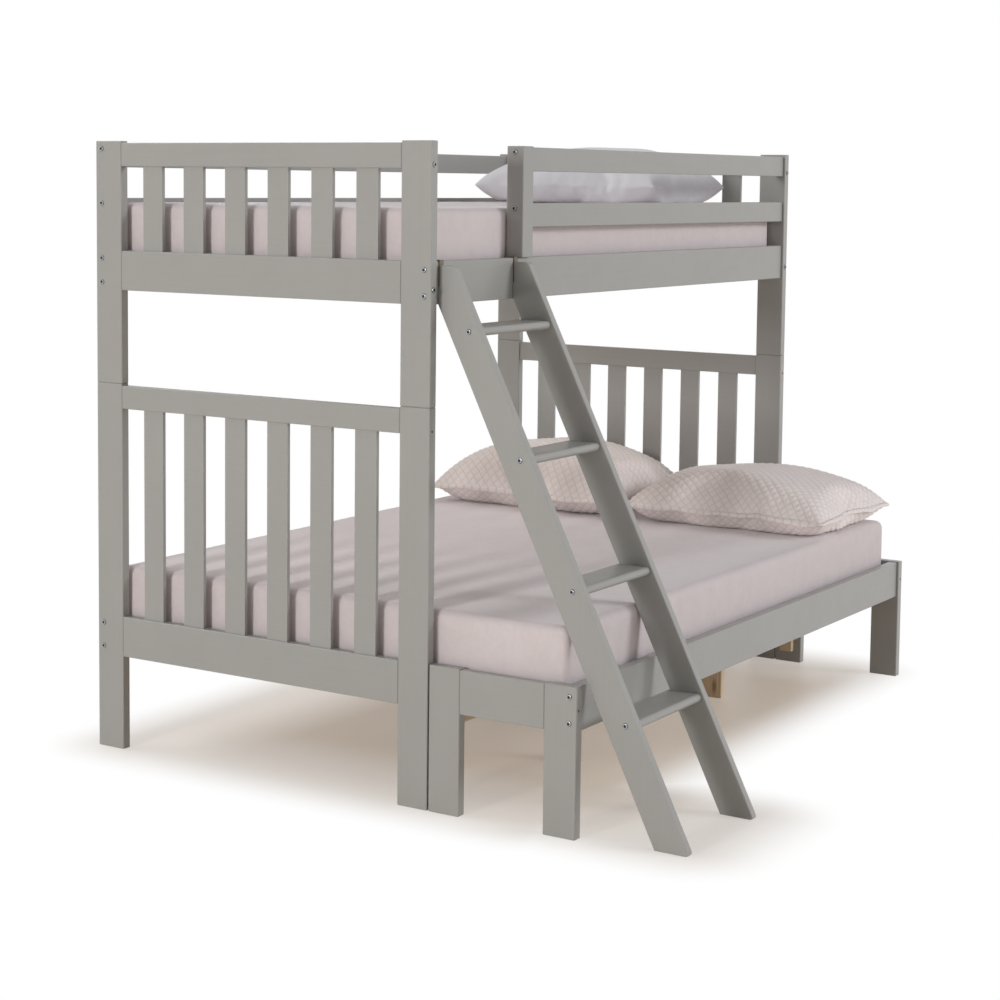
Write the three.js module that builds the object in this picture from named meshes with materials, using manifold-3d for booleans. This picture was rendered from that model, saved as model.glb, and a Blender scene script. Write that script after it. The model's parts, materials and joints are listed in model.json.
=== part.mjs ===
// Bunk bed with ladder: a twin bunk stacked on a lower bed that an extension makes full width.
//
// Units are millimetres. The bed is laid out with X from the outer face of the foot panels to the
// outer face of the head panels, Y from the front faces of the twin posts back to the wall, and Z
// up from the floor. The last group then moves the origin to the floor under the bed's middle.

import * as THREE from 'three';
import { mergeVertices } from 'three/addons/utils/BufferGeometryUtils.js';
import Module from 'manifold-3d';

// ---------------------------------------------------------------- driving dimensions

// Whole bed
const bedLength = 1990;
const twinWidth = 1050;
const fullWidth = 1459;
const stackHeight = 967;        // top of the lower posts, where the upper bunk stands
const upperRailRise = 243;      // from there to the lower edge of the upper side rails
const upperPostRise = 282;      // of the upper posts above the upper side rails

// Boards
const postWidth = 86;
const postThick = 26;
const endRailThick = 22;
const sideRailThick = 25;
const sideRailSetback = 7;      // side and guard rails lie behind the posts' narrow faces
const edgeEase = 1.6;           // small chamfer on every board edge
const fit = 0.3;                // gap between faces that touch

// Rails
const lowerRailBottom = 248;
const lowerRailHeight = 106;
const upperRailHeight = 102;
const topRailHeight = 60;
const topRailDrop = 5;          // the end panels' top rails stop this far below the post tops

// Slats of the end panels
const panelSlatCount = 6;
const panelSlatWidth = 64;
const panelSlatThick = 10;
const panelSlatInset = 6;
const panelGroove = 12;         // depth of the groove that holds the slat ends
const fillerSetback = 0.8;      // of the strips between the slats, in the groove

// Guard rails and the post at the ladder's entry
const guardRailHeight = 60;
const guardTopDrop = 7;
const guardGap = 80;
const guardPostWide = 50;
const guardPostDeep = 48;
const guardPostProud = 13;      // it stands this far in front of the side rail
const guardPostDrop = 5;
const guardPostGap = 1.5;       // between it and the ladder
const guardTenon = [30, 12, 30];

// Extension of the lower bed
const extensionGap = 4.5;       // between the twin post and the extension's inner post
const extensionPostRise = 2;    // above the rails' top edge
const linkPinRadius = 6;        // pins that hold the inner posts to the twin posts
const linkPinLength = 16;       // into each post
const linkPinHeights = [150, 300];

// Slatted decks
const ledgerHeight = 24;
const ledgerWidth = 25;
const ledgerLift = 1;           // above the rail's lower edge
const deckSlatCount = 14;
const deckSlatWidth = 68;
const deckSlatThick = 18;
const deckEndGap = 14;          // between the end posts and the first slat
const deckSideGap = 2;
const webbingWidth = 25;
const webbingThick = 1.4;
const webbingInset = 60;

// Centre beam of the lower deck, its legs and end cleats
const beamWidth = 40;
const beamHeight = 60;
const beamLegThick = 20;
const beamLegOffset = 417;      // from the middle of the bed
const beamCleatLength = 177;

// Joints
const dowelRadius = 4;
const dowelLength = 10;
const dowelInset = 20;          // from the edge of a rail to the middle of its dowel
const boltRadius = 3.5;
const sideBoltSpread = 62;
const guardBoltDrop = 13;
const topRailBoltRise = 9;
const bottomRailBoltRise = 35;
const stackPinRadius = 5;
const stackPinLength = 76;

// Ladder
const ladderWidth = 356;
const ladderOffset = 14;        // from the foot posts' inner faces
const stringerThick = 22;
const stringerWidth = 80;
const ladderClearance = 3.3;    // from the rounded edge of the lower mattress
const stringerTopDrop = 10;     // below the side rail's top edge
const toeRadius = 12;
const crownEase = 5;            // where the stringer's front edge meets its top
const treadCount = 4;
const treadThick = 21;
const firstTreadTop = 285;
const topTreadDrop = 50.5;      // from the lower edge of the upper side rail
const treadSetback = 3;         // its rounded nose lies behind the stringers' front edges
const treadBoltBack = 32;
const treadDowelBack = 62;
const hookThick = 2.5;
const hookWidth = 18;
const hookLeg = 50;
const hookLip = 22;

// Mattresses and pillows
const mattressEndGap = 16.5;    // to the end posts
const twinSideGap = 12;         // from the twin mattress to both side rails
const fullBackGap = 10;         // from the full-size mattress to the back side rail
const fullFrontGap = 15;        // and to the front side rail
const mattressHeight = 190;
const mattressEdge = 30;
const mattressCorner = 55;
const pillowSeam = 45;          // height of a pillow's seam above the mattress
// A pillow's corners end headGap before the head posts; its middle lies aside of the mattress's middle.
const upperPillow = { headGap: 34, aside: -22, size: [480, 640], height: 165 };
const nearPillow = { headGap: -9, aside: -362, size: [514, 654], height: 170 };
const farPillow = { headGap: 10, aside: 331, size: [500, 660], height: 190 };

const roundSides = 8;

// ---------------------------------------------------------------- sizes worked out from them

const twinBack = twinWidth;
const extensionFront = twinWidth - fullWidth;
const lowerRailTop = lowerRailBottom + lowerRailHeight;
const upperRailBottom = stackHeight + upperRailRise;
const upperRailTop = upperRailBottom + upperRailHeight;
const bedHeight = upperRailTop + upperPostRise;
const innerFoot = postThick;
const innerHead = bedLength - postThick;
const frontRailY = [sideRailSetback, sideRailSetback + sideRailThick];
const backRailY = [twinBack - sideRailSetback - sideRailThick, twinBack - sideRailSetback];
const extensionRailY = frontRailY.map((y) => y + extensionFront);
const guardTopBottom = bedHeight - guardTopDrop - guardRailHeight;
const guardLowBottom = guardTopBottom - guardGap - guardRailHeight;
const innerPostY = [-extensionGap - postWidth, -extensionGap];
const outerPostY = [extensionFront, extensionFront + postWidth];
const beamMiddle = (innerPostY[0] + innerPostY[1]) / 2;
const ledgerTop = ledgerLift + ledgerHeight;
const deckTop = ledgerTop + deckSlatThick;
const ladderFoot = innerFoot + ladderOffset;
const ladderHead = ladderFoot + ladderWidth;
const guardPostX = [ladderHead + guardPostGap, ladderHead + guardPostGap + guardPostWide];
const guardPostY = [sideRailSetback - guardPostProud, sideRailSetback - guardPostProud + guardPostDeep];

// ---------------------------------------------------------------- shaping helpers

const wasm = await Module();
wasm.setup();

const middleOf = (range) => (range[0] + range[1]) / 2;
const fitted = (range) => [range[0] + fit, range[1] - fit];
const loosened = (range) => [range[0] - fit, range[1] + fit];

// A flat piece cut to an outline in its own XY plane, with all its edges eased.
function plank(outline, thickness, ease = edgeEase, curveSegments = 6) {
  return new THREE.ExtrudeGeometry(outline, {
    depth: thickness - 2 * ease,
    bevelThickness: ease,
    bevelSize: ease,
    bevelOffset: -ease,
    bevelSegments: 1,
    curveSegments,
  }).translate(0, 0, ease);
}

function clippedRectangle(width, height, clip) {
  const [w, h] = [width / 2, height / 2];
  return new THREE.Shape([
    [-w + clip, -h], [w - clip, -h], [w, -h + clip], [w, h - clip],
    [w - clip, h], [-w + clip, h], [-w, h - clip], [-w, -h + clip],
  ].map(([x, y]) => new THREE.Vector2(x, y)));
}

// A square-edged block that fills the given ranges.
function block(x, y, z) {
  const size = [x, y, z].map(([from, to]) => to - from);
  return new THREE.BoxGeometry(...size).translate(middleOf(x), middleOf(y), middleOf(z));
}

// A board that fills the given ranges, eased on all twelve edges.
function board(x, y, z, ease = edgeEase) {
  const size = [x, y, z].map(([from, to]) => to - from);
  const thin = size.indexOf(Math.min(...size));
  const face = size.filter((_, axis) => axis !== thin);
  const geometry = plank(clippedRectangle(...face, ease), size[thin], ease);
  if (thin < 2) geometry.rotateX(Math.PI / 2);
  if (thin === 0) geometry.rotateZ(Math.PI / 2);
  return geometry.center().translate(middleOf(x), middleOf(y), middleOf(z));
}

// A round bar along one axis; across gives its other two coordinates in X, Y, Z order.
function rod(axis, across, from, to, radius) {
  const geometry = new THREE.CylinderGeometry(radius, radius, to - from, roundSides);
  const along = (from + to) / 2;
  if (axis === 'x') return geometry.rotateZ(Math.PI / 2).translate(along, ...across);
  if (axis === 'y') return geometry.translate(across[0], along, across[1]);
  return geometry.rotateX(Math.PI / 2).translate(...across, along);
}

function toSolid(geometry) {
  const bare = geometry.clone();
  bare.deleteAttribute('normal');
  bare.deleteAttribute('uv');
  const merged = mergeVertices(bare);
  return new wasm.Manifold(new wasm.Mesh({
    numProp: 3,
    vertProperties: merged.attributes.position.array,
    triVerts: merged.index.array,
  }));
}

function toGeometry(solid) {
  const { vertProperties, triVerts } = solid.getMesh();
  const geometry = new THREE.BufferGeometry();
  geometry.setAttribute('position', new THREE.BufferAttribute(vertProperties, 3));
  geometry.setIndex(new THREE.BufferAttribute(triVerts, 1));
  geometry.computeVertexNormals();
  return geometry;
}

function shaped(base, { joined = [], cut = [] }) {
  let solid = toSolid(base);
  for (const piece of joined) solid = solid.add(toSolid(piece));
  for (const piece of cut) solid = solid.subtract(toSolid(piece));
  return toGeometry(solid);
}

// ---------------------------------------------------------------- materials

function finish(color, roughness, metalness = 0) {
  return () => new THREE.MeshStandardMaterial({ color, roughness, metalness });
}

const greyPaint = finish(0xa09e99, 0.42);
const rawPine = finish(0xd9b991, 0.7);
const greigeSheet = finish(0xc0b5b1, 0.95);
const whiteCotton = finish(0xdcdad9, 0.95);
const greigeQuilt = finish(0xc4bab5, 0.95);
const brightSteel = finish(0xb9bcbe, 0.3, 1);
const yellowZinc = finish(0xb08b4f, 0.4, 1);

const bed = new THREE.Group();

function place(name, geometry, material) {
  const mesh = new THREE.Mesh(geometry, material());
  mesh.name = name;
  bed.add(mesh);
}

// ---------------------------------------------------------------- side and guard rails

// Heights, measured on the post, of what joins a rail's end to it.
const railKinds = {
  lower_side: { bottom: lowerRailBottom, height: lowerRailHeight, ledger: true },
  upper_side: { bottom: upperRailBottom, height: upperRailHeight, ledger: true },
  guard_low: { bottom: guardLowBottom, height: guardRailHeight },
  guard_top: { bottom: guardTopBottom, height: guardRailHeight },
};
for (const kind of Object.values(railKinds)) {
  const middle = kind.bottom + kind.height / 2;
  const top = kind.bottom + kind.height;
  const boltPair = [middle - sideBoltSpread / 2, middle + sideBoltSpread / 2];
  kind.bolts = kind.ledger ? boltPair : [top - guardBoltDrop];
  kind.dowels = kind.ledger ? [middle] : [kind.bottom + dowelInset];
}

// A rail along X with a dowel at each end and, on a side rail, the ledger that carries the slats.
function sideRail(kindName, x, y, inward, cut = []) {
  const kind = railKinds[kindName];
  const joined = [];
  const [from, to] = fitted(x);
  for (const z of kind.dowels) {
    joined.push(rod('x', [middleOf(y), z], from - dowelLength, to + dowelLength, dowelRadius));
  }
  if (kind.ledger) {
    const face = inward > 0 ? y[1] : y[0];
    const ledgerY = [face - inward, face + inward * ledgerWidth].sort((a, b) => a - b);
    const ledgerZ = [kind.bottom + ledgerLift, kind.bottom + ledgerTop];
    joined.push(board([from + deckEndGap, to - deckEndGap], ledgerY, ledgerZ));
  }
  const blank = board([from, to], y, [kind.bottom, kind.bottom + kind.height]);
  return shaped(blank, { joined, cut });
}

const railsX = [innerFoot, innerHead];
const tenonX = [middleOf(guardPostX) - guardTenon[0] / 2, middleOf(guardPostX) + guardTenon[0] / 2];
const tenonY = [middleOf(frontRailY) - guardTenon[1] / 2, middleOf(frontRailY) + guardTenon[1] / 2];
const mortise = block(loosened(tenonX), loosened(tenonY), [upperRailTop - guardTenon[2], upperRailTop + 1]);

place('lower_back_side_rail', sideRail('lower_side', railsX, backRailY, -1), greyPaint);
place('lower_front_side_rail', sideRail('lower_side', railsX, extensionRailY, 1), greyPaint);
place('upper_back_side_rail', sideRail('upper_side', railsX, backRailY, -1), greyPaint);
place('upper_front_side_rail', sideRail('upper_side', railsX, frontRailY, 1, [mortise]), greyPaint);
for (const kindName of ['guard_low', 'guard_top']) {
  const shortX = [guardPostX[1], innerHead];
  place(`back_${kindName}_rail`, sideRail(kindName, railsX, backRailY, -1), greyPaint);
  place(`front_${kindName}_rail`, sideRail(kindName, shortX, frontRailY, 1), greyPaint);
}

// Holes for the dowels and bolts of the rails that end on a post's wide face.
function railHoles(kindNames, y, x) {
  const holes = [];
  const fromFoot = x[0] < bedLength / 2;
  const inner = fromFoot ? x[1] : x[0];
  const deep = dowelLength + 1;
  const socket = fromFoot ? [inner - deep, inner + 1] : [inner - 1, inner + deep];
  for (const kindName of kindNames) {
    const { bolts, dowels } = railKinds[kindName];
    for (const z of bolts) holes.push(rod('x', [middleOf(y), z], x[0] - 1, x[1] + 1, boltRadius));
    for (const z of dowels) holes.push(rod('x', [middleOf(y), z], ...socket, dowelRadius + fit));
  }
  return holes;
}

// The post beside the ladder's entry stands on the side rail on a tenon and ends the guard rails.
const guardPost = board(guardPostX, guardPostY, [upperRailTop + fit, bedHeight - guardPostDrop]);
const guardSockets = ['guard_low', 'guard_top'].flatMap((kindName) => {
  const { bolts, dowels } = railKinds[kindName];
  const middle = (z) => [middleOf(frontRailY), z];
  const socketEnd = guardPostX[1] - dowelLength - 1;
  return [
    ...bolts.map((z) => rod('x', middle(z), guardPostX[0] - 1, guardPostX[1] + 1, boltRadius)),
    ...dowels.map((z) => rod('x', middle(z), socketEnd, guardPostX[1] + 1, dowelRadius + fit)),
  ];
});
const tenon = board(tenonX, tenonY, [upperRailTop - guardTenon[2] + 1, upperRailTop + 5]);
place('front_guard_post', shaped(guardPost, { joined: [tenon], cut: guardSockets }), greyPaint);

// ---------------------------------------------------------------- end panels

const across = (end, range) => (end === 'foot' ? range : [bedLength - range[1], bedLength - range[0]]);

const levels = {
  lower: {
    from: 0,
    to: stackHeight,
    railBottom: lowerRailBottom,
    railHeight: lowerRailHeight,
    rails: ['lower_side'],
  },
  upper: {
    from: stackHeight + fit,
    to: bedHeight,
    railBottom: upperRailBottom,
    railHeight: upperRailHeight,
    rails: ['upper_side', 'guard_low', 'guard_top'],
  },
};

// Rails of an end panel, each with the heights of its bolt and of its dowels.
function panelRails(level) {
  const { railBottom, railHeight, to } = level;
  const topBottom = to - topRailDrop - topRailHeight;
  return {
    bottom: {
      z: [railBottom, railBottom + railHeight],
      bolt: railBottom + bottomRailBoltRise,
      dowels: [railBottom + railHeight - dowelInset],
    },
    top: {
      z: [topBottom, topBottom + topRailHeight],
      bolt: topBottom + topRailBoltRise,
      dowels: [topBottom + topRailHeight - dowelInset],
    },
  };
}

function panelPost(levelName, end, side) {
  const level = levels[levelName];
  const x = across(end, [0, postThick]);
  const front = side === 'front';
  const y = front ? [0, postWidth] : [twinBack - postWidth, twinBack];
  const inner = front ? y[1] : y[0];
  const cut = [];
  for (const rail of Object.values(panelRails(level))) {
    const railX = middleOf(across(end, [0, endRailThick]));
    const socket = front ? [inner - dowelLength - 1, inner + 1] : [inner - 1, inner + dowelLength + 1];
    cut.push(rod('y', [railX, rail.bolt], y[0] - 1, y[1] + 1, boltRadius));
    for (const z of rail.dowels) cut.push(rod('y', [railX, z], ...socket, dowelRadius + fit));
  }
  let rails = level.rails;
  if (front && levelName === 'lower') rails = [];
  if (front && levelName === 'upper' && end === 'foot') rails = ['upper_side'];
  cut.push(...railHoles(rails, front ? frontRailY : backRailY, x));
  if (front && levelName === 'lower') {
    const [from, to] = [y[0] - 1, y[0] + linkPinLength + 1];
    for (const z of linkPinHeights) cut.push(rod('y', [middleOf(x), z], from, to, linkPinRadius + fit));
  }
  const pinHalf = stackPinLength / 2 + 1;
  const pinCentre = [middleOf(x), middleOf(y)];
  cut.push(rod('z', pinCentre, stackHeight - pinHalf, stackHeight + pinHalf, stackPinRadius + fit));
  return shaped(board(x, y, [level.from, level.to]), { cut });
}

const slatRun = twinWidth - 2 * postWidth;
const slatSpace = (slatRun - panelSlatCount * panelSlatWidth) / (panelSlatCount + 1);
const slatY = Array.from({ length: panelSlatCount }, (_, i) => {
  const from = postWidth + slatSpace + i * (panelSlatWidth + slatSpace);
  return [from, from + panelSlatWidth];
});
const slatRowY = [slatY[0][0], slatY[panelSlatCount - 1][1]];

function panelRail(levelName, end, which) {
  const rail = panelRails(levels[levelName])[which];
  const x = across(end, [0, endRailThick]);
  const y = fitted([postWidth, twinBack - postWidth]);
  const joined = rail.dowels.map((z) => {
    return rod('y', [middleOf(x), z], y[0] - dowelLength, y[1] + dowelLength, dowelRadius);
  });
  const slotX = across(end, [panelSlatInset, panelSlatInset + panelSlatThick]);
  const edge = which === 'bottom' ? rail.z[1] : rail.z[0];
  const slot = block(loosened(slotX), loosened(slatRowY), [edge - panelGroove - fit, edge + panelGroove]);
  if (which === 'top') slot.translate(0, 0, fit);
  return shaped(board(x, y, rail.z), { joined, cut: [slot] });
}

// The slats and the filler strips that space them in the grooves are glued up as one grid.
function panelSlats(levelName, end) {
  const rails = panelRails(levels[levelName]);
  const x = across(end, [panelSlatInset, panelSlatInset + panelSlatThick]);
  const z = [rails.bottom.z[1] - panelGroove, rails.top.z[0] + panelGroove];
  const fillerX = [x[0] + fillerSetback, x[1] - fillerSetback];
  const fillerY = [slatRowY[0] + 1, slatRowY[1] - 1];
  const fillerHeight = panelGroove - fillerSetback;
  const fillers = [z[0] + fillerSetback, z[1] - fillerHeight].map((from) => {
    return block(fillerX, fillerY, [from, from + fillerHeight - fillerSetback]);
  });
  const [first, ...others] = slatY.map((y) => block(x, y, z));
  return shaped(first, { joined: [...others, ...fillers] });
}

for (const levelName of Object.keys(levels)) {
  for (const end of ['foot', 'head']) {
    for (const side of ['front', 'back']) {
      place(`${levelName}_${end}_${side}_post`, panelPost(levelName, end, side), greyPaint);
    }
    place(`${levelName}_${end}_top_rail`, panelRail(levelName, end, 'top'), greyPaint);
    place(`${levelName}_${end}_bottom_rail`, panelRail(levelName, end, 'bottom'), greyPaint);
    place(`${levelName}_${end}_slats`, panelSlats(levelName, end), greyPaint);
  }
}

// Steel pins that stop the upper bunk sliding off the lower posts.
for (const end of ['foot', 'head']) {
  for (const side of ['front', 'back']) {
    const x = middleOf(across(end, [0, postThick]));
    const y = side === 'front' ? postWidth / 2 : twinBack - postWidth / 2;
    const half = stackPinLength / 2;
    const tip = stackPinRadius / 2;
    const profile = [
      [0, -half], [stackPinRadius - tip, -half], [stackPinRadius, -half + tip],
      [stackPinRadius, half - tip], [stackPinRadius - tip, half], [0, half],
    ].map(([r, z]) => new THREE.Vector2(r, z));
    const pin = new THREE.LatheGeometry(profile, roundSides).rotateX(Math.PI / 2);
    place(`stacking_pin_${end}_${side}`, pin.translate(x, y, stackHeight), brightSteel);
  }
}

// ---------------------------------------------------------------- extension of the lower bed

const extensionTop = lowerRailTop + extensionPostRise;
const extensionRailDowels = [lowerRailTop - dowelInset, lowerRailBottom + dowelInset];

for (const end of ['foot', 'head']) {
  const x = across(end, [0, postThick]);
  const railX = across(end, [0, endRailThick]);
  const railY = fitted([outerPostY[1], innerPostY[0]]);
  const dowels = (from, to, radius) => {
    return extensionRailDowels.map((z) => rod('y', [middleOf(railX), z], from, to, radius));
  };
  const boltZ = middleOf([lowerRailBottom, lowerRailTop]);
  const outerCut = [
    ...dowels(outerPostY[1] - dowelLength - 1, outerPostY[1] + 1, dowelRadius + fit),
    rod('y', [middleOf(railX), boltZ], outerPostY[0] - 1, outerPostY[1] + 1, boltRadius),
    ...railHoles(['lower_side'], extensionRailY, x),
  ];
  const innerCut = dowels(innerPostY[0] - 1, innerPostY[0] + dowelLength + 1, dowelRadius + fit);
  const rail = board(railX, railY, [lowerRailBottom, lowerRailTop]);
  const railDowels = dowels(railY[0] - dowelLength, railY[1] + dowelLength, dowelRadius);
  const outerBlank = board(x, outerPostY, [0, extensionTop]);
  place(`extension_${end}_outer_post`, shaped(outerBlank, { cut: outerCut }), greyPaint);
  const pins = linkPinHeights.map((z) => {
    return rod('y', [middleOf(x), z], innerPostY[1] - linkPinLength, linkPinLength, linkPinRadius);
  });
  const innerBlank = board(x, innerPostY, [0, extensionTop]);
  place(`extension_${end}_inner_post`, shaped(innerBlank, { joined: pins, cut: innerCut }), greyPaint);
  place(`extension_${end}_rail`, shaped(rail, { joined: railDowels }), greyPaint);
}

// Centre beam under the line where the twin and extension slats meet, with raw pine supports.
const beamTop = lowerRailBottom + ledgerTop;
const beamBottom = beamTop - beamHeight;
const beamY = [beamMiddle - beamWidth / 2, beamMiddle + beamWidth / 2];
place('centre_beam', board(fitted(railsX), beamY, [beamBottom, beamTop]), rawPine);
for (const [end, direction] of [['foot', -1], ['head', 1]]) {
  const legMiddle = bedLength / 2 + direction * beamLegOffset;
  const legX = [legMiddle - beamLegThick / 2, legMiddle + beamLegThick / 2];
  const cleatX = fitted(across(end, [postThick, postThick + beamLegThick]));
  const cleatZ = [beamBottom - fit - beamCleatLength, beamBottom - fit];
  place(`centre_leg_${end}`, board(legX, innerPostY, [0, beamBottom - fit]), rawPine);
  place(`beam_cleat_${end}`, board(cleatX, beamY, cleatZ), rawPine);
}

// ---------------------------------------------------------------- slatted decks

// A roll of slats, from one ledger to the other, tied together by two webbing straps.
function slatRoll(y, top) {
  const z = [top - deckSlatThick, top];
  const run = [innerFoot + deckEndGap, innerHead - deckEndGap];
  const pitch = (run[1] - run[0] - deckSlatWidth) / (deckSlatCount - 1);
  const slats = Array.from({ length: deckSlatCount }, (_, i) => {
    const from = run[0] + i * pitch;
    return block([from, from + deckSlatWidth], y, z);
  });
  const straps = [y[0] + webbingInset, y[1] - webbingInset - webbingWidth].map((from) => {
    const strapX = [run[0] + deckSlatWidth / 4, run[1] - deckSlatWidth / 4];
    return block(strapX, [from, from + webbingWidth], [z[0] - webbingThick, z[0] + webbingThick / 2]);
  });
  return shaped(slats[0], { joined: [...slats.slice(1), ...straps] });
}

const upperDeckTop = upperRailBottom + deckTop + fit;
const lowerDeckTop = lowerRailBottom + deckTop + fit;
const upperDeckY = [frontRailY[1] + deckSideGap, backRailY[0] - deckSideGap];
const twinDeckY = [beamMiddle + deckSideGap / 2, backRailY[0] - deckSideGap];
const extensionDeckY = [extensionRailY[1] + deckSideGap, beamMiddle - deckSideGap / 2];
place('upper_slat_roll', slatRoll(upperDeckY, upperDeckTop), rawPine);
place('lower_slat_roll', slatRoll(twinDeckY, lowerDeckTop), rawPine);
place('extension_slat_roll', slatRoll(extensionDeckY, lowerDeckTop), rawPine);

// ---------------------------------------------------------------- mattresses and pillows

function mattress(y, bottom) {
  const length = innerHead - innerFoot - 2 * mattressEndGap;
  const [w, h, r] = [length / 2, (y[1] - y[0]) / 2, mattressCorner];
  const outline = new THREE.Shape();
  outline.absarc(w - r, h - r, r, 0, Math.PI / 2);
  outline.absarc(r - w, h - r, r, Math.PI / 2, Math.PI);
  outline.absarc(r - w, r - h, r, Math.PI, 1.5 * Math.PI);
  outline.absarc(w - r, r - h, r, 1.5 * Math.PI, 2 * Math.PI);
  const geometry = new THREE.ExtrudeGeometry(outline, {
    depth: mattressHeight - 2 * mattressEdge,
    bevelThickness: mattressEdge,
    bevelSize: mattressEdge,
    bevelOffset: -mattressEdge,
    bevelSegments: 3,
    curveSegments: 4,
  });
  return geometry.translate(bedLength / 2, middleOf(y), bottom + mattressEdge);
}

const upperMattressBottom = upperDeckTop + fit;
const lowerMattressBottom = lowerDeckTop + fit;
const upperMattressTop = upperMattressBottom + mattressHeight;
const lowerMattressTop = lowerMattressBottom + mattressHeight;
const upperMattressY = [frontRailY[1] + twinSideGap, backRailY[0] - twinSideGap];
const lowerMattressY = [extensionRailY[1] + fullFrontGap, backRailY[0] - fullBackGap];
place('upper_mattress', mattress(upperMattressY, upperMattressBottom), greigeSheet);
place('lower_mattress', mattress(lowerMattressY, lowerMattressBottom), greigeSheet);

// A stuffed pillow: square in plan with drawn-out corners, domed above its seam and flatter below.
function pillow({ headGap, aside, size, height }, mattressY, mattressTop) {
  const geometry = new THREE.SphereGeometry(1, 32, 12).rotateX(Math.PI / 2);
  const point = new THREE.Vector3();
  const vertices = geometry.attributes.position;
  const squared = (value) => Math.sign(value) * Math.abs(value) ** 0.52;
  for (let i = 0; i < vertices.count; i += 1) {
    point.fromBufferAttribute(vertices, i);
    const reach = Math.hypot(point.x, point.y);
    const [c, s] = reach > 1e-9 ? [point.x / reach, point.y / reach] : [0, 0];
    const corner = Math.abs(2 * c * s) ** 6;
    const spread = reach ** 0.75 * (0.93 + 0.07 * corner);
    const rise = point.z > 0 ? height - pillowSeam : pillowSeam - fit;
    const z = rise * Math.sign(point.z) * Math.abs(point.z) ** (1.1 + 0.9 * corner);
    vertices.setXYZ(i, (size[0] / 2) * squared(c) * spread, (size[1] / 2) * squared(s) * spread, z);
  }
  geometry.computeVertexNormals();
  const middleX = innerHead - headGap - size[0] / 2;
  return geometry.translate(middleX, middleOf(mattressY) + aside, mattressTop + pillowSeam);
}

place('upper_pillow', pillow(upperPillow, upperMattressY, upperMattressTop), whiteCotton);
place('lower_pillow_near', pillow(nearPillow, lowerMattressY, lowerMattressTop), greigeQuilt);
place('lower_pillow_far', pillow(farPillow, lowerMattressY, lowerMattressTop), greigeQuilt);

// ---------------------------------------------------------------- ladder

// The stringers lean against the side rail: their backs are cut plumb from its lower edge up, and
// they pass just clear of the rounded edge of the lower mattress.
const plumbY = frontRailY[0] - fit;
const stringerTop = upperRailTop - stringerTopDrop;
const edgeOut = plumbY - (lowerMattressY[0] + mattressEdge);
const edgeDown = upperRailBottom - (lowerMattressTop - mattressEdge);
const edgeReach = mattressEdge + ladderClearance;
const ladderLean = Math.atan2(edgeOut, edgeDown) + Math.asin(edgeReach / Math.hypot(edgeOut, edgeDown));
const leanSlope = Math.tan(ladderLean);
const stringerRun = stringerWidth / Math.cos(ladderLean);
const backY = (z) => plumbY - (upperRailBottom - z) * leanSlope;
const frontY = (z) => backY(z) - stringerRun;

// Turns an outline drawn in Y and Z, and given its thickness along X, to its place in the bed.
const upright = (geometry, x) => geometry.rotateX(Math.PI / 2).rotateZ(Math.PI / 2).translate(x, 0, 0);

function stringer(fromX, inward) {
  const outline = new THREE.Shape();
  const hookFace = plumbY - hookThick - fit;
  const hookFoot = stringerTop - hookLeg;
  outline.moveTo(backY(0), 0);
  outline.lineTo(plumbY, upperRailBottom);
  outline.lineTo(plumbY, hookFoot);
  outline.lineTo(hookFace, hookFoot);
  outline.lineTo(hookFace, stringerTop);
  outline.lineTo(frontY(stringerTop) + crownEase, stringerTop);
  outline.lineTo(frontY(stringerTop - crownEase), stringerTop - crownEase);
  outline.lineTo(frontY(toeRadius), toeRadius);
  outline.quadraticCurveTo(frontY(0), 0, frontY(0) + toeRadius, 0);
  outline.closePath();
  const blank = upright(plank(outline, stringerThick, edgeEase, 3), fromX);
  const inner = inward > 0 ? fromX + stringerThick : fromX;
  const socket = [inner - inward * (dowelLength + 1), inner + inward].sort((a, b) => a - b);
  const cut = [];
  for (const z of treadHeights) {
    const y = frontY(z);
    cut.push(rod('x', [y + treadBoltBack, z], fromX - 1, fromX + stringerThick + 1, boltRadius));
    cut.push(rod('x', [y + treadDowelBack, z], ...socket, dowelRadius + fit));
  }
  return shaped(blank, { cut });
}

// Heights of the treads' middles, evenly spaced up to the top tread.
const topTreadTop = upperRailBottom - topTreadDrop;
const treadHeights = Array.from({ length: treadCount }, (_, i) => {
  const top = firstTreadTop + (i * (topTreadTop - firstTreadTop)) / (treadCount - 1);
  return top - treadThick / 2;
});
const treadX = fitted([ladderFoot + stringerThick, ladderHead - stringerThick]);

function tread(z) {
  const [low, high] = [z - treadThick / 2, z + treadThick / 2];
  const radius = treadThick / 2;
  const nose = frontY(high) + treadSetback;
  const outline = new THREE.Shape();
  outline.moveTo(backY(high) - 1, high);
  outline.lineTo(nose + radius, high);
  outline.absarc(nose + radius, z, radius, Math.PI / 2, 1.5 * Math.PI);
  outline.lineTo(backY(low) - 1, low);
  outline.closePath();
  const blank = upright(plank(outline, treadX[1] - treadX[0], edgeEase, 5), treadX[0]);
  const [from, to] = [treadX[0] - dowelLength, treadX[1] + dowelLength];
  return shaped(blank, { joined: [rod('x', [frontY(z) + treadDowelBack, z], from, to, dowelRadius)] });
}

// A flat strap, let into the stringer's back, that bends over the side rail and down behind it.
function hook(fromX) {
  const under = upperRailTop + fit;
  const behind = frontRailY[1] + fit;
  const outline = new THREE.Shape([
    [plumbY - hookThick, stringerTop - hookLeg + fit],
    [plumbY, stringerTop - hookLeg + fit],
    [plumbY, under],
    [behind, under],
    [behind, upperRailTop - hookLip],
    [behind + hookThick, upperRailTop - hookLip],
    [behind + hookThick, under + hookThick],
    [plumbY - hookThick, under + hookThick],
  ].map(([y, z]) => new THREE.Vector2(y, z)));
  return upright(plank(outline, hookWidth, 0.3), fromX + (stringerThick - hookWidth) / 2);
}

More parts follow.
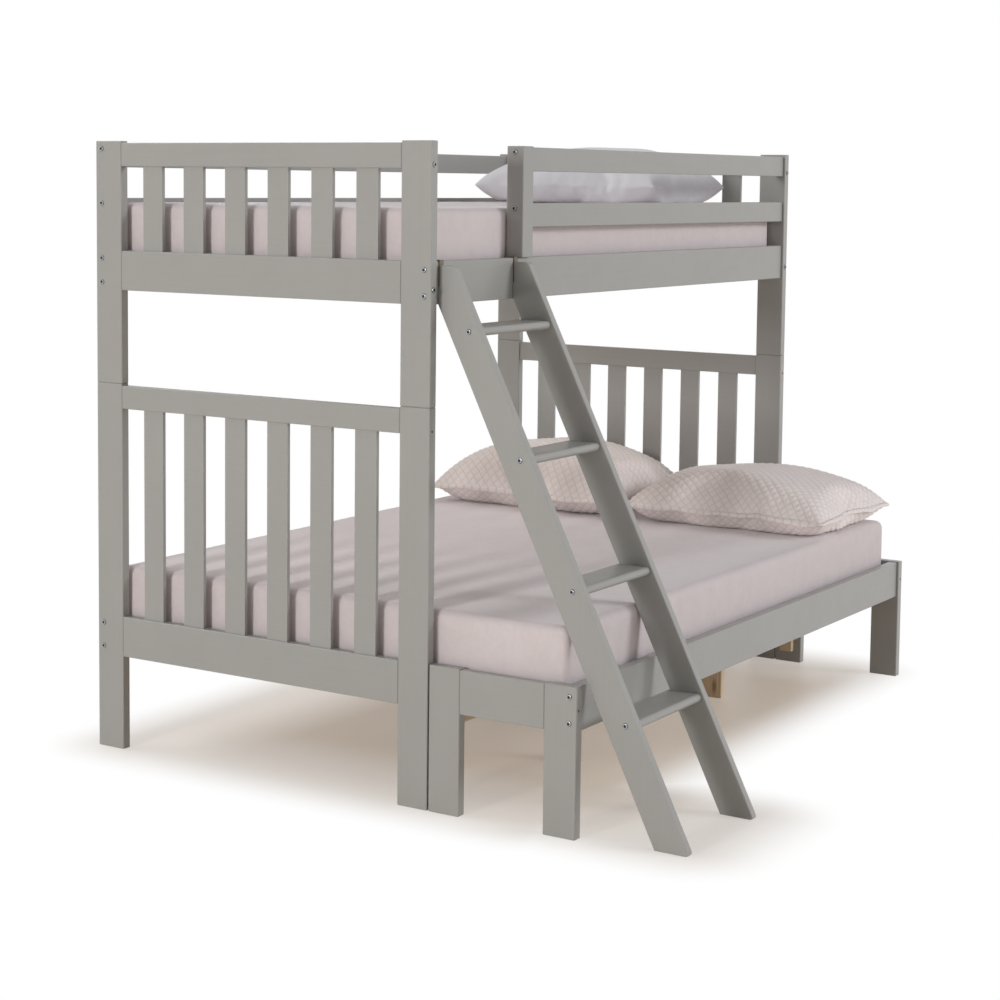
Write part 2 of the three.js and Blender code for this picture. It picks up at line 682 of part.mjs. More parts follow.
const stringerX = { foot: ladderFoot, head: ladderHead - stringerThick };
place('ladder_stringer_foot', stringer(stringerX.foot, 1), greyPaint);
place('ladder_stringer_head', stringer(stringerX.head, -1), greyPaint);
treadHeights.forEach((z, i) => place(`ladder_tread_${i + 1}`, tread(z), greyPaint));
for (const end of ['foot', 'head']) place(`ladder_hook_${end}`, hook(stringerX[end]), yellowZinc);

// ---------------------------------------------------------------- origin

const bedBox = new THREE.Box3().setFromObject(bed);
bed.position.set(-middleOf([bedBox.min.x, bedBox.max.x]), -middleOf([bedBox.min.y, bedBox.max.y]), 0);
const bunkBed = new THREE.Group();
bunkBed.add(bed);

export default bunkBed;
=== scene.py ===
import json
import math

import bmesh
import bpy
from mathutils import Matrix, Quaternion, Vector, noise


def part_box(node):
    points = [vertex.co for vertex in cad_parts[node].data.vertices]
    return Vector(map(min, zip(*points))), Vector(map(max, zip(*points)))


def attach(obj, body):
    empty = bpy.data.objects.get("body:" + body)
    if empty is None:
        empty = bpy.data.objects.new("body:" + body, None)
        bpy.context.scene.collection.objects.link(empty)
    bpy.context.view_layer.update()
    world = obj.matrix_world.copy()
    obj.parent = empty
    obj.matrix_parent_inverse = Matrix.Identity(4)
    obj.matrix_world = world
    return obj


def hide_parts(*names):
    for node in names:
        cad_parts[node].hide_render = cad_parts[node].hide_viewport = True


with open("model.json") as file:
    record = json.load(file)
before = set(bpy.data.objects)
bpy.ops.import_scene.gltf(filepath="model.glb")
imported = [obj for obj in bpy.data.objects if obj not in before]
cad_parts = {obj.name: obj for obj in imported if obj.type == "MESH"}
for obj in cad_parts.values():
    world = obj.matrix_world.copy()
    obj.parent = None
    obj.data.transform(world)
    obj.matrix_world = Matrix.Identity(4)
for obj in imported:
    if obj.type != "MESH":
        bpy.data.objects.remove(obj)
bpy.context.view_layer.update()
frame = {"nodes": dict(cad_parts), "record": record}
nodes = frame["nodes"]
scene = bpy.context.scene


# ---- camera and lamps ----------------------------------------------------------------------

SENSOR_WIDTH = 36.0
LENS_LENGTH = 75.574
LENS_SHIFT = (0.010, -0.130)
CAMERA_PLACE = (-5.0607, -2.9316, 1.4959)
CAMERA_LOOK = (0.84108, 0.53359, -0.08862)
CAMERA_ROLL = 0.63

BED_MIDDLE = (0.0, 0.0, 0.9)
ROOM_LIGHT = 0.32
PLAIN_WHITE = (1.0, 1.0, 1.0)
COOL_WHITE = (0.97, 0.99, 1.03)


def set_camera():
    """A long lens at standing height off the foot end, on the ladder's side."""
    lens = bpy.data.cameras.new("camera")
    lens.sensor_width = SENSOR_WIDTH
    lens.lens = LENS_LENGTH
    lens.shift_x, lens.shift_y = LENS_SHIFT
    camera = bpy.data.objects.new("camera", lens)
    scene.collection.objects.link(camera)
    camera.location = CAMERA_PLACE
    camera.rotation_mode = "QUATERNION"
    roll = Quaternion((0.0, 0.0, 1.0), math.radians(CAMERA_ROLL))
    camera.rotation_quaternion = Vector(CAMERA_LOOK).to_track_quat("-Z", "Y") @ roll
    scene.camera = camera


def add_soft_lamp(name, place, aim, size, power, colour=PLAIN_WHITE):
    """A rectangular soft box that faces the point it is aimed at."""
    light = bpy.data.lights.new(name, "AREA")
    light.shape = "RECTANGLE"
    light.size, light.size_y = size
    light.energy = power
    light.color = colour
    lamp = bpy.data.objects.new(name, light)
    scene.collection.objects.link(lamp)
    lamp.location = place
    lamp.rotation_mode = "QUATERNION"
    lamp.rotation_quaternion = (Vector(aim) - Vector(place)).to_track_quat("-Z", "Y")


# ---- node trees ----------------------------------------------------------------------------


def add(tree, kind, inputs=(), **settings):
    """One node, with its settings made first and then each of its inputs set or linked."""
    made = tree.nodes.new("ShaderNode" + kind)
    for setting, value in settings.items():
        setattr(made, setting, value)
    for key, value in dict(inputs).items():
        if isinstance(value, bpy.types.NodeSocket):
            tree.links.new(value, made.inputs[key])
        else:
            made.inputs[key].default_value = value
    return made


def spaced(values):
    """Values by socket name, from Python names with an underscore for each space."""
    return {key.replace("_", " "): value for key, value in values.items()}


def reckon(tree, operation, *values):
    """The result of one sum on one to three numbers or sockets."""
    return add(tree, "Math", enumerate(values), operation=operation).outputs[0]


def reckon_vectors(tree, operation, *values):
    """The resulting vector of one sum on one or two vectors or sockets."""
    return add(tree, "VectorMath", enumerate(values), operation=operation).outputs[0]


def between(tree, value, low, high, to_low=0.0, to_high=1.0, smooth=False):
    """The value carried from one range to another and held inside it."""
    spread = {1: low, 2: high, 3: to_low, 4: to_high, 0: value}
    kind = "SMOOTHSTEP" if smooth else "LINEAR"
    return add(tree, "MapRange", spread, interpolation_type=kind).outputs[0]


def mix_colours(tree, share, first, second):
    """Two colours mixed by a share from 0 to 1."""
    return add(tree, "Mix", {0: share, 6: first, 7: second}, data_type="RGBA").outputs[2]


def mix_shaders(tree, share, first, second):
    """Two shaders mixed by a share from 0 to 1."""
    return add(tree, "MixShader", {0: share, 1: first, 2: second}).outputs[0]


def seen_by_camera(tree):
    """1 for what is seen, straight, in a gloss or through glass, and 0 for what only gives light."""
    rays = add(tree, "LightPath")
    seen = reckon(tree, "MAXIMUM", rays.outputs["Is Camera Ray"], rays.outputs["Is Glossy Ray"])
    return reckon(tree, "MAXIMUM", seen, rays.outputs["Is Transmission Ray"])


def start_group(name, inputs, outputs):
    """A new shader group with its named sockets, and its two ends."""
    tree = bpy.data.node_groups.new(name, "ShaderNodeTree")
    for label, kind, value in inputs:
        socket = tree.interface.new_socket(label, in_out="INPUT", socket_type="NodeSocket" + kind)
        if value is not None:
            socket.default_value = value
    for label, kind in outputs:
        tree.interface.new_socket(label, in_out="OUTPUT", socket_type="NodeSocket" + kind)
    return tree, tree.nodes.new("NodeGroupInput"), tree.nodes.new("NodeGroupOutput")


def use(tree, group, **inputs):
    """A group placed in a material with its own values."""
    return add(tree, "Group", spaced(inputs), node_tree=group)


# Nearly all values of a noise texture lie in this range.
CLOUD_SPREAD = (0.3, 0.7)
FULL_TURN = 2.0 * math.pi


def make_tone_group():
    """A colour that drifts a little lighter and darker over a set distance."""
    inputs = [
        ("Vector", "Vector", None),
        ("Color", "Color", (0.5, 0.5, 0.5, 1.0)),
        ("Patch", "Float", 0.1),
        ("Amount", "Float", 0.05),
    ]
    tree, enter, leave = start_group("drifting tone", inputs, [("Color", "Color")])
    rate = reckon(tree, "DIVIDE", 1.0, enter.outputs["Patch"])
    clouds = add(
        tree,
        "TexNoise",
        {"Vector": enter.outputs["Vector"], "Scale": rate, "Detail": 3.0, "Roughness": 0.55},
    )
    low = reckon(tree, "SUBTRACT", 1.0, enter.outputs["Amount"])
    high = reckon(tree, "ADD", 1.0, enter.outputs["Amount"])
    gain = between(tree, clouds.outputs["Fac"], *CLOUD_SPREAD, low, high)
    scaled = add(
        tree, "VectorMath", {0: enter.outputs["Color"], "Scale": gain}, operation="SCALE"
    )
    tree.links.new(scaled.outputs[0], leave.inputs["Color"])
    return tree


def make_grain_group():
    """Long wood grain that runs along X, with its finer pores, from 0 to 1."""
    inputs = [("Vector", "Vector", None), ("Ring Width", "Float", 0.006), ("Wander", "Float", 0.6)]
    outputs = [("Grain", "Float"), ("Pores", "Float")]
    tree, enter, leave = start_group("long grain", inputs, outputs)
    rings_pushed = 9.0
    late_wood_narrows = 2.2
    rate = reckon(tree, "DIVIDE", 1.0, enter.outputs["Ring Width"])
    stretch = {"Vector": enter.outputs["Vector"], "Scale": (0.035, 1.0, 1.0)}
    long_way = add(tree, "Mapping", stretch).outputs[0]
    drift = add(tree, "TexNoise", {"Vector": long_way, "Scale": 14.0, "Detail": 2.0})
    pushed = reckon(tree, "MULTIPLY", drift.outputs["Fac"], enter.outputs["Wander"])
    apart = add(tree, "SeparateXYZ", {0: long_way})
    across = reckon(tree, "ADD", apart.outputs[1], apart.outputs[2])
    rings_at = reckon(tree, "MULTIPLY", across, rate)
    rings_at = reckon(tree, "ADD", rings_at, reckon(tree, "MULTIPLY", pushed, rings_pushed))
    wave = reckon(tree, "SINE", reckon(tree, "MULTIPLY", rings_at, FULL_TURN))
    grain = between(tree, wave, -1.0, 1.0)
    pores = add(tree, "TexNoise", {"Vector": long_way, "Scale": 1400.0, "Detail": 2.0})
    tree.links.new(reckon(tree, "POWER", grain, late_wood_narrows), leave.inputs["Grain"])
    tree.links.new(between(tree, pores.outputs["Fac"], 0.35, 0.65), leave.inputs["Pores"])
    return tree


def make_weave_group():
    """Plain-woven threads of a set width, as a height from 0 to 1."""
    inputs = [("Vector", "Vector", None), ("Thread", "Float", 0.0005)]
    tree, enter, leave = start_group("plain weave", inputs, [("Height", "Float")])
    apart = add(tree, "SeparateXYZ", {0: enter.outputs["Vector"]})
    rate = reckon(tree, "DIVIDE", math.pi, enter.outputs["Thread"])
    waves = []
    for axis in (0, 1):
        along = reckon(tree, "ADD", apart.outputs[axis], apart.outputs[2])
        waves.append(reckon(tree, "SINE", reckon(tree, "MULTIPLY", along, rate)))
    crossing = reckon(tree, "MULTIPLY", *waves)
    tree.links.new(between(tree, crossing, -1.0, 1.0), leave.inputs["Height"])
    return tree


def make_apart_group():
    """How far a floor point lies outside an upright rectangle, in metres."""
    inputs = [
        ("Vector", "Vector", None),
        ("Middle", "Vector", (0.0, 0.0, 0.0)),
        ("Reach", "Vector", (1.0, 1.0, 1.0)),
    ]
    tree, enter, leave = start_group("outside a rectangle", inputs, [("Distance", "Float")])
    shifted = reckon_vectors(tree, "SUBTRACT", enter.outputs["Vector"], enter.outputs["Middle"])
    away = reckon_vectors(tree, "ABSOLUTE", shifted)
    over = reckon_vectors(tree, "SUBTRACT", away, enter.outputs["Reach"])
    outside = reckon_vectors(tree, "MAXIMUM", over, (0.0, 0.0, 0.0))
    length = add(tree, "VectorMath", {0: outside}, operation="LENGTH")
    tree.links.new(length.outputs["Value"], leave.inputs["Distance"])
    return tree


def make_stitch_group():
    """Two crossing sets of slanting lines on the cut cloth: 1 on a line, 0 away from it."""
    inputs = [("Vector", "Vector", None), ("Spacing", "Float", 0.02), ("Width", "Float", 0.002)]
    tree, enter, leave = start_group("stitched diamonds", inputs, [("Line", "Float")])
    apart = add(tree, "SeparateXYZ", {0: enter.outputs["Vector"]})
    step = reckon(tree, "MULTIPLY", enter.outputs["Spacing"], math.sqrt(2.0))
    gaps = []
    for operation in ("ADD", "SUBTRACT"):
        across = reckon(tree, operation, apart.outputs[0], apart.outputs[1])
        gaps.append(reckon(tree, "PINGPONG", across, reckon(tree, "MULTIPLY", step, 0.5)))
    nearest = reckon(tree, "MINIMUM", *gaps)
    line = between(tree, nearest, 0.0, enter.outputs["Width"], 1.0, 0.0, smooth=True)
    tree.links.new(line, leave.inputs["Line"])
    return tree


drifting_tone = make_tone_group()
long_grain = make_grain_group()
plain_weave = make_weave_group()
outside_rectangle = make_apart_group()
stitched_diamonds = make_stitch_group()


# ---- materials -----------------------------------------------------------------------------

STITCH_SPACING = 0.019
STITCH_WIDTH = 0.0034


def start_material(name, **shader):
    """A material, its shader with plain values set on it, and the object's own coordinates."""
    material = bpy.data.materials.new(name)
    material.use_nodes = True
    tree = material.node_tree
    tree.nodes.clear()
    surface = add(tree, "BsdfPrincipled", spaced(shader))
    leave = add(tree, "OutputMaterial")
    tree.links.new(surface.outputs[0], leave.inputs["Surface"])
    place = add(tree, "TexCoord").outputs["Object"]
    return material, tree, surface, place


def raise_surface(tree, surface, height, depth):
    """Bump on a shader from a height of 0 to 1 and its real depth in metres."""
    bump = add(tree, "Bump", {"Height": height, "Distance": depth, "Strength": 1.0})
    tree.links.new(bump.outputs[0], surface.inputs["Normal"])


TURNS = {"x": (0.0, 0.0, 0.0), "y": (0.0, 0.0, math.pi / 2), "z": (0.0, math.pi / 2, 0.0)}


def make_grey_paint(along):
    """Satin dove-grey enamel over pine, whose grain just shows along the board."""
    material, tree, surface, place = start_material(
        "dove_grey_paint_" + along, Specular_IOR_Level=0.5, Coat_Weight=0.2, Coat_Roughness=0.2
    )
    grain_shade = (0.26, 0.25, 0.23, 1.0)
    turned = add(tree, "Mapping", {"Vector": place, "Rotation": TURNS[along]}).outputs[0]
    grain = use(tree, long_grain, Vector=turned, Ring_Width=0.012, Wander=0.9)
    toned = use(
        tree, drifting_tone, Vector=place, Color=(0.345, 0.338, 0.320, 1.0), Patch=0.22, Amount=0.02
    )
    tinted = mix_colours(
        tree,
        reckon(tree, "MULTIPLY", grain.outputs["Grain"], 0.05),
        toned.outputs["Color"],
        grain_shade,
    )
    tree.links.new(tinted, surface.inputs["Base Color"])
    film = add(tree, "TexNoise", {"Vector": place, "Scale": 420.0, "Detail": 2.0}).outputs["Fac"]
    relief = reckon(tree, "ADD", reckon(tree, "MULTIPLY", grain.outputs["Grain"], 0.35), film)
    raise_surface(tree, surface, relief, depth=0.00006)
    gloss = add(tree, "TexNoise", {"Vector": turned, "Scale": 22.0, "Detail": 3.0}).outputs["Fac"]
    satin = between(tree, gloss, *CLOUD_SPREAD, 0.36, 0.47)
    tree.links.new(satin, surface.inputs["Roughness"])
    return material


def make_raw_pine(along):
    """Planed pine without finish: straw colour, amber late wood and a few knots."""
    material, tree, surface, place = start_material(
        "raw_pine_" + along, Roughness=0.62, Specular_IOR_Level=0.35
    )
    late_wood = (0.58, 0.39, 0.21, 1.0)
    knot_brown = (0.30, 0.16, 0.07, 1.0)
    turned = add(tree, "Mapping", {"Vector": place, "Rotation": TURNS[along]}).outputs[0]
    grain = use(tree, long_grain, Vector=turned, Ring_Width=0.007, Wander=0.8)
    pale = use(
        tree, drifting_tone, Vector=place, Color=(0.78, 0.64, 0.46, 1.0), Patch=0.16, Amount=0.07
    )
    ringed = mix_colours(
        tree,
        reckon(tree, "MULTIPLY", grain.outputs["Grain"], 0.55),
        pale.outputs["Color"],
        late_wood,
    )
    spread = add(tree, "Mapping", {"Vector": turned, "Scale": (5.0, 14.0, 14.0)}).outputs[0]
    cells = add(tree, "TexVoronoi", {"Vector": spread, "Scale": 1.0, "Randomness": 1.0})
    knot = between(tree, cells.outputs["Distance"], 0.04, 0.16, 0.75, 0.0, smooth=True)
    knotted = mix_colours(tree, knot, ringed, knot_brown)
    tree.links.new(knotted, surface.inputs["Base Color"])
    relief = reckon(tree, "ADD", grain.outputs["Grain"], grain.outputs["Pores"])
    raise_surface(tree, surface, relief, depth=0.00008)
    return material


def make_slat_roll_pine(node_name):
    """Raw pine slats along Y, with the pale webbing that strings them together on top, painted
    darker as shade in the gaps between its threads.
    """
    gap_painted_shade, thread_grey = (0.52, 0.51, 0.47, 1.0), (0.74, 0.73, 0.70, 1.0)
    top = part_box(node_name)[1].z
    material = make_raw_pine("y")
    material.name = "raw_pine_on_webbing_" + node_name
    tree = material.node_tree
    surface = next(n for n in tree.nodes if n.type == "BSDF_PRINCIPLED")
    place = add(tree, "TexCoord").outputs["Object"]
    height = add(tree, "SeparateXYZ", {0: place}).outputs[2]
    on_webbing = between(tree, height, top - 0.0017, top - 0.0013)
    weave = use(tree, plain_weave, Vector=place, Thread=0.0012)
    # Painted shade: the low parts of the weave, between the threads, take the darker grey.
    webbing = mix_colours(tree, weave.outputs["Height"], gap_painted_shade, thread_grey)
    wood = surface.inputs["Base Color"].links[0].from_socket
    tree.links.new(mix_colours(tree, on_webbing, wood, webbing), surface.inputs["Base Color"])
    return material


def make_zinc(name, colour, roughness):
    """Plated steel with the faint clouding of the zinc bath."""
    material, tree, surface, place = start_material(name, Metallic=1.0)
    toned = use(tree, drifting_tone, Vector=place, Color=colour, Patch=0.006, Amount=0.10)
    tree.links.new(toned.outputs["Color"], surface.inputs["Base Color"])
    scuffs = add(tree, "TexNoise", {"Vector": place, "Scale": 900.0, "Detail": 3.0}).outputs["Fac"]
    wear = between(tree, scuffs, *CLOUD_SPREAD, roughness - 0.07, roughness + 0.07)
    tree.links.new(wear, surface.inputs["Roughness"])
    raise_surface(tree, surface, scuffs, depth=0.00002)
    return material


def make_socket_painted_shade():
    """Painted shade: near-black steel on the walls and floor of a bolt's hexagon socket and on the
    thin seat round its head, standing in for the shadow in them.
    """
    material, tree, surface, place = start_material("socket_shade", Metallic=0.6, Roughness=0.6)
    toned = use(
        tree, drifting_tone, Vector=place, Color=(0.05, 0.052, 0.055, 1.0), Patch=0.001, Amount=0.2
    )
    tree.links.new(toned.outputs["Color"], surface.inputs["Base Color"])
    return material


def make_sheet_cloth():
    """Brushed cotton fitted sheet in greige: soft, a little cloudy, with fine threads whose weave is
    painted with a little shade.
    """
    material, tree, surface, place = start_material(
        "greige_brushed_cotton", Roughness=0.9, Sheen_Weight=0.45, Sheen_Roughness=0.4,
        Specular_IOR_Level=0.2,
    )
    thread_painted_shade = (0.60, 0.53, 0.53, 1.0)
    toned = use(
        tree, drifting_tone, Vector=place, Color=(0.705, 0.630, 0.634, 1.0), Patch=0.05, Amount=0.025
    )
    fine = use(
        tree, drifting_tone, Vector=place, Color=toned.outputs["Color"], Patch=0.012, Amount=0.02
    )
    weave = use(tree, plain_weave, Vector=place, Thread=0.0005)
    # Painted shade: the weave pattern darkens the colour up to a tenth of the way to a darker tone.
    threaded = mix_colours(
        tree,
        reckon(tree, "MULTIPLY", weave.outputs["Height"], 0.10),
        fine.outputs["Color"],
        thread_painted_shade,
    )
    tree.links.new(threaded, surface.inputs["Base Color"])
    nap = add(tree, "TexNoise", {"Vector": place, "Scale": 160.0, "Detail": 4.0}).outputs["Fac"]
    relief = reckon(tree, "ADD", reckon(tree, "MULTIPLY", weave.outputs["Height"], 0.3), nap)
    raise_surface(tree, surface, relief, depth=0.00015)
    return material


def make_pillowcase_cloth():
    """White percale with fine threads."""
    material, tree, surface, place = start_material(
        "white_percale", Roughness=0.85, Sheen_Weight=0.15, Sheen_Roughness=0.5,
        Specular_IOR_Level=0.25,
    )
    toned = use(
        tree, drifting_tone, Vector=place, Color=(0.77, 0.76, 0.79, 1.0), Patch=0.05, Amount=0.02
    )
    tree.links.new(toned.outputs["Color"], surface.inputs["Base Color"])
    cut = add(tree, "UVMap", uv_map="cut").outputs[0]
    weave = use(tree, plain_weave, Vector=cut, Thread=0.0004)
    raise_surface(tree, surface, weave.outputs["Height"], depth=0.00004)
    return material


def make_quilt_cloth():
    """Greige quilted cotton: the stitched lines sink, and are painted darker along them as shade."""
    material, tree, surface, place = start_material(
        "greige_quilted_cotton", Roughness=0.9, Sheen_Weight=0.5, Sheen_Roughness=0.4,
        Specular_IOR_Level=0.2,
    )
    stitch_painted_shade = (0.56, 0.47, 0.45, 1.0)
    toned = use(
        tree, drifting_tone, Vector=place, Color=(0.930, 0.850, 0.825, 1.0), Patch=0.05, Amount=0.02
    )
    cut = add(tree, "UVMap", uv_map="cut").outputs[0]
    stitch = use(tree, stitched_diamonds, Vector=cut, Spacing=STITCH_SPACING, Width=STITCH_WIDTH)
    # Painted shade: along the stitched lines the colour is mixed up to 0.35 of the way to a darker
    # brown-grey.
    shaded = mix_colours(
        tree,
        reckon(tree, "MULTIPLY", stitch.outputs["Line"], 0.35),
        toned.outputs["Color"],
        stitch_painted_shade,
    )
    tree.links.new(shaded, surface.inputs["Base Color"])
    weave = use(tree, plain_weave, Vector=cut, Thread=0.0005)
    nap = add(tree, "TexNoise", {"Vector": place, "Scale": 200.0, "Detail": 3.0}).outputs["Fac"]
    relief = reckon(tree, "ADD", reckon(tree, "MULTIPLY", weave.outputs["Height"], 0.4), nap)
    raise_surface(tree, surface, relief, depth=0.00015)
    return material


# Middle and half size of the floor's rectangles: where the shade is deepest, and where it reaches.
SHADE_RECTANGLES = {
    "deep": ((0.05, 0.03), (0.65, 0.44)),
    "bed": ((0.02, 0.185), (0.95, 0.615)),
    "ladder": ((-0.75, -0.63), (0.15, 0.20)),
}
ANY_HEIGHT = 9.0
# Painted light: going out from the deep rectangle, white is mixed into the lit floor for the camera,
# until only OUTER_SHADE of the lit floor is kept, lightening the bed's shade.
DEEP_SHADE_FADE = 0.35
OUTER_SHADE = 0.70
SHADE_FADE = 0.25
# Painted light: a warm glow seen only by the camera, which takes a share of the whole floor and
# lifts its shade; it lights nothing.
PAINTED_FLOOR_GLOW = (0.92, 0.82, 0.72, 1.0)
GLOW_SHARE = 0.24


def make_floor_with_painted_light():
    """A pale floor that keeps the bed's shade and melts into white away from it. Painted light for
    the camera only: a warm glow over the whole floor lifts its shade, and white mixed in round the
    deep shade under the bed lightens it further out.
    """
    material, tree, surface, place = start_material(
        "pale_floor", Roughness=0.45, Specular_IOR_Level=0.3
    )
    toned = use(
        tree, drifting_tone, Vector=place, Color=(0.84, 0.76, 0.67, 1.0), Patch=0.5, Amount=0.01
    )
    tree.links.new(toned.outputs["Color"], surface.inputs["Base Color"])
    away = {}
    for name, (middle, reach) in SHADE_RECTANGLES.items():
        found = use(
            tree, outside_rectangle, Vector=place, Middle=(*middle, 0.0), Reach=(*reach, ANY_HEIGHT)
        )
        away[name] = found.outputs["Distance"]
    near = reckon(tree, "MINIMUM", away["bed"], away["ladder"])
    # Share of the lit floor kept: all of it in the deep shade, less further out, the rest painted
    # white.
    shaded = between(tree, away["deep"], 0.0, DEEP_SHADE_FADE, 1.0, OUTER_SHADE)
    edge = between(tree, near, 0.0, SHADE_FADE, 1.0, 0.0, smooth=True)
    fade = reckon(tree, "SUBTRACT", 1.0, reckon(tree, "MULTIPLY", edge, shaded))
    seen = seen_by_camera(tree)
    glow = add(tree, "Emission", {"Color": PAINTED_FLOOR_GLOW, "Strength": 1.0}).outputs[0]
    white = add(tree, "Emission", {"Color": (*PLAIN_WHITE, 1.0), "Strength": 1.0}).outputs[0]
    # Painted light: the camera sees this share of warm glow in place of the lit floor.
    lift = reckon(tree, "MULTIPLY", seen, GLOW_SHARE)
    lifted = mix_shaders(tree, lift, surface.outputs[0], glow)
    both = mix_shaders(tree, reckon(tree, "MULTIPLY", fade, seen), lifted, white)
    leave = next(n for n in tree.nodes if n.type == "OUTPUT_MATERIAL")
    tree.links.new(both, leave.inputs["Surface"])
    return material


def set_white_surroundings(strength):
    """Even white light all round, seen as plain white behind the bed."""
    world = bpy.data.worlds.new("white_surroundings")
    scene.world = world
    world.use_nodes = True
    tree = world.node_tree
    tree.nodes.clear()
    white = (*PLAIN_WHITE, 1.0)
    seen = seen_by_camera(tree)
    even = add(tree, "Background", {"Color": white, "Strength": strength}).outputs[0]
    plain = add(tree, "Background", {"Color": white, "Strength": 1.0}).outputs[0]
    leave = add(tree, "OutputWorld")
    tree.links.new(mix_shaders(tree, seen, even, plain), leave.inputs["Surface"])


# ---- hand tools ----------------------------------------------------------------------------


def let_go():
    """Nothing selected, ready for the next piece."""
    bpy.ops.object.select_all(action="DESELECT")


def take(piece):
    """Only this piece selected and active."""
    let_go()
    piece.select_set(True)
    bpy.context.view_layer.objects.active = piece


def settle_place(piece):
    """The piece's place, turn and size go into its mesh."""
    take(piece)
    bpy.ops.object.transform_apply(location=True, rotation=True, scale=True)


def pick(piece, kind, test):
    """In edit mode, only the faces or edges that pass the test are selected."""
    bpy.ops.mesh.select_mode(type={"faces": "FACE", "edges": "EDGE"}[kind])
    bpy.ops.mesh.select_all(action="DESELECT")
    shape = bmesh.from_edit_mesh(piece.data)
    for part in getattr(shape, kind):
        if test(part):
            part.select_set(True)
    bmesh.update_edit_mesh(piece.data)


def finish_piece(piece, material, body):
    """Finish, material slot and body of a new piece."""
    piece.data.materials.clear()
    piece.data.materials.append(material)
    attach(piece, body)


# ---- boards --------------------------------------------------------------------------------


def dress_boards():
    """Paint, raw pine and plating on the boards, slat rolls, hooks and pins."""
    paint = {along: make_grey_paint(along) for along in "xyz"}
    pine = {along: make_raw_pine(along) for along in "xyz"}
    slots = {part["node"]: part["material_slot"] for part in frame["record"]["subparts"]}
    for name, node in nodes.items():
        if name in MATTRESSES or name in PILLOWS:
            continue
        low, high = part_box(name)
        along = max("xyz", key=lambda axis: getattr(high, axis) - getattr(low, axis))
        if slots[name] == "grey_paint":
            finish = paint[along]
        elif name.endswith("slat_roll"):
            finish = make_slat_roll_pine(name)
        elif slots[name] == "raw_pine":
            finish = pine[along]
        elif slots[name] == "yellow_zinc":
            finish = yellow_zinc
        else:
            finish = bright_zinc
        for place in node.material_slots:
            place.material = finish


# ---- bolts ---------------------------------------------------------------------------------

SEAT_RADIUS = 0.0070
SEAT_RISE = 0.0004
HEAD_RADIUS = 0.0062
HEAD_RISE = 0.0024
SOCKET_REACH = 0.0041
SOCKET_DEPTH = 0.0020
HEAD_BEVEL = 0.0009
TREAD_BOLT_IN = 0.0238
EDGE_BOLT_IN = 0.0195
PANEL_BOLT_IN = 0.011
LOWER_RAIL_BOLTS = (0.270, 0.332)
SIDE_RAIL_BOLTS = (1.230, 1.292)
GUARD_RAIL_BOLTS = (1.434, 1.574)
PANEL_RAIL_BOLTS = (1.245, 1.538)
ENDS = {"foot": -1, "head": 1}


def outer_x(name, side):
    """Where a piece ends along X, on the foot side (-1) or the head side (1)."""
    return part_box(name)[0 if side < 0 else 1].x


def in_shade(face):
    """True for the faces of the seat round the head and of the socket in it, which take the painted
    shade.
    """
    middle = face.calc_center_median()
    on_seat = middle.z < SEAT_RISE * 1.1
    in_socket = middle.xy.length < SOCKET_REACH and middle.z < HEAD_RISE * 0.98
    return on_seat or in_socket


def model_bolt_head():
    """A low round bolt head with a hexagon socket, on a thin seat on the plane z = 0; seat and
    socket are painted dark as shade.
    """
    let_go()
    bpy.ops.mesh.primitive_cylinder_add(
        vertices=24, radius=SEAT_RADIUS, depth=SEAT_RISE, location=(0.0, 0.0, SEAT_RISE / 2)
    )
    head = bpy.context.object
    # Bright zinc for the head, then a second material of painted shade for the seat and socket.
    head.data.materials.append(bright_zinc)
    head.data.materials.append(socket_painted_shade)
    settle_place(head)
    bpy.ops.object.mode_set(mode="EDIT")
    pick(head, "faces", lambda face: face.normal.z > 0.9)
    bpy.ops.mesh.inset(thickness=SEAT_RADIUS - HEAD_RADIUS)
    bpy.ops.mesh.extrude_region_move(
        TRANSFORM_OT_translate={"value": (0.0, 0.0, HEAD_RISE - SEAT_RISE)}
    )
    bpy.ops.mesh.inset(thickness=HEAD_RADIUS - SOCKET_REACH)
    shape = bmesh.from_edit_mesh(head.data)
    for point in shape.verts:
        if point.select:
            turn = math.atan2(point.co.y, point.co.x) % (math.pi / 3) - math.pi / 6
            flat = SOCKET_REACH * math.cos(math.pi / 6) / math.cos(turn)
            point.co.xy = point.co.xy.normalized() * flat
    bmesh.update_edit_mesh(head.data)
    bpy.ops.mesh.extrude_region_move(
        TRANSFORM_OT_translate={"value": (0.0, 0.0, -SOCKET_DEPTH)}
    )
    shape = bmesh.from_edit_mesh(head.data)
    # The seat and the socket's walls and floor get the near-black material as painted shade; the
    # rest is bright zinc.
    for face in shape.faces:
        face.material_index = 1 if in_shade(face) else 0
    bmesh.update_edit_mesh(head.data)
    pick(
        head,
        "edges",
        lambda edge: all(
            point.co.z > HEAD_RISE * 0.9 and point.co.xy.length > HEAD_RADIUS * 0.95
            for point in edge.verts
        ),
    )
    bpy.ops.mesh.bevel(offset=HEAD_BEVEL, segments=3, affect="EDGES")
    bpy.ops.object.mode_set(mode="OBJECT")
    return head


def put_bolt(model, name, place, outward, body):
    """A copy of the bolt head on a board's face."""
    piece = bpy.data.objects.new(name, model.data.copy())
    scene.collection.objects.link(piece)
    outward = Vector(outward)
    turn = outward.to_track_quat("Z", "Y").to_matrix().to_4x4()
    piece.data.transform(Matrix.Translation(Vector(place)) @ turn)
    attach(piece, body)


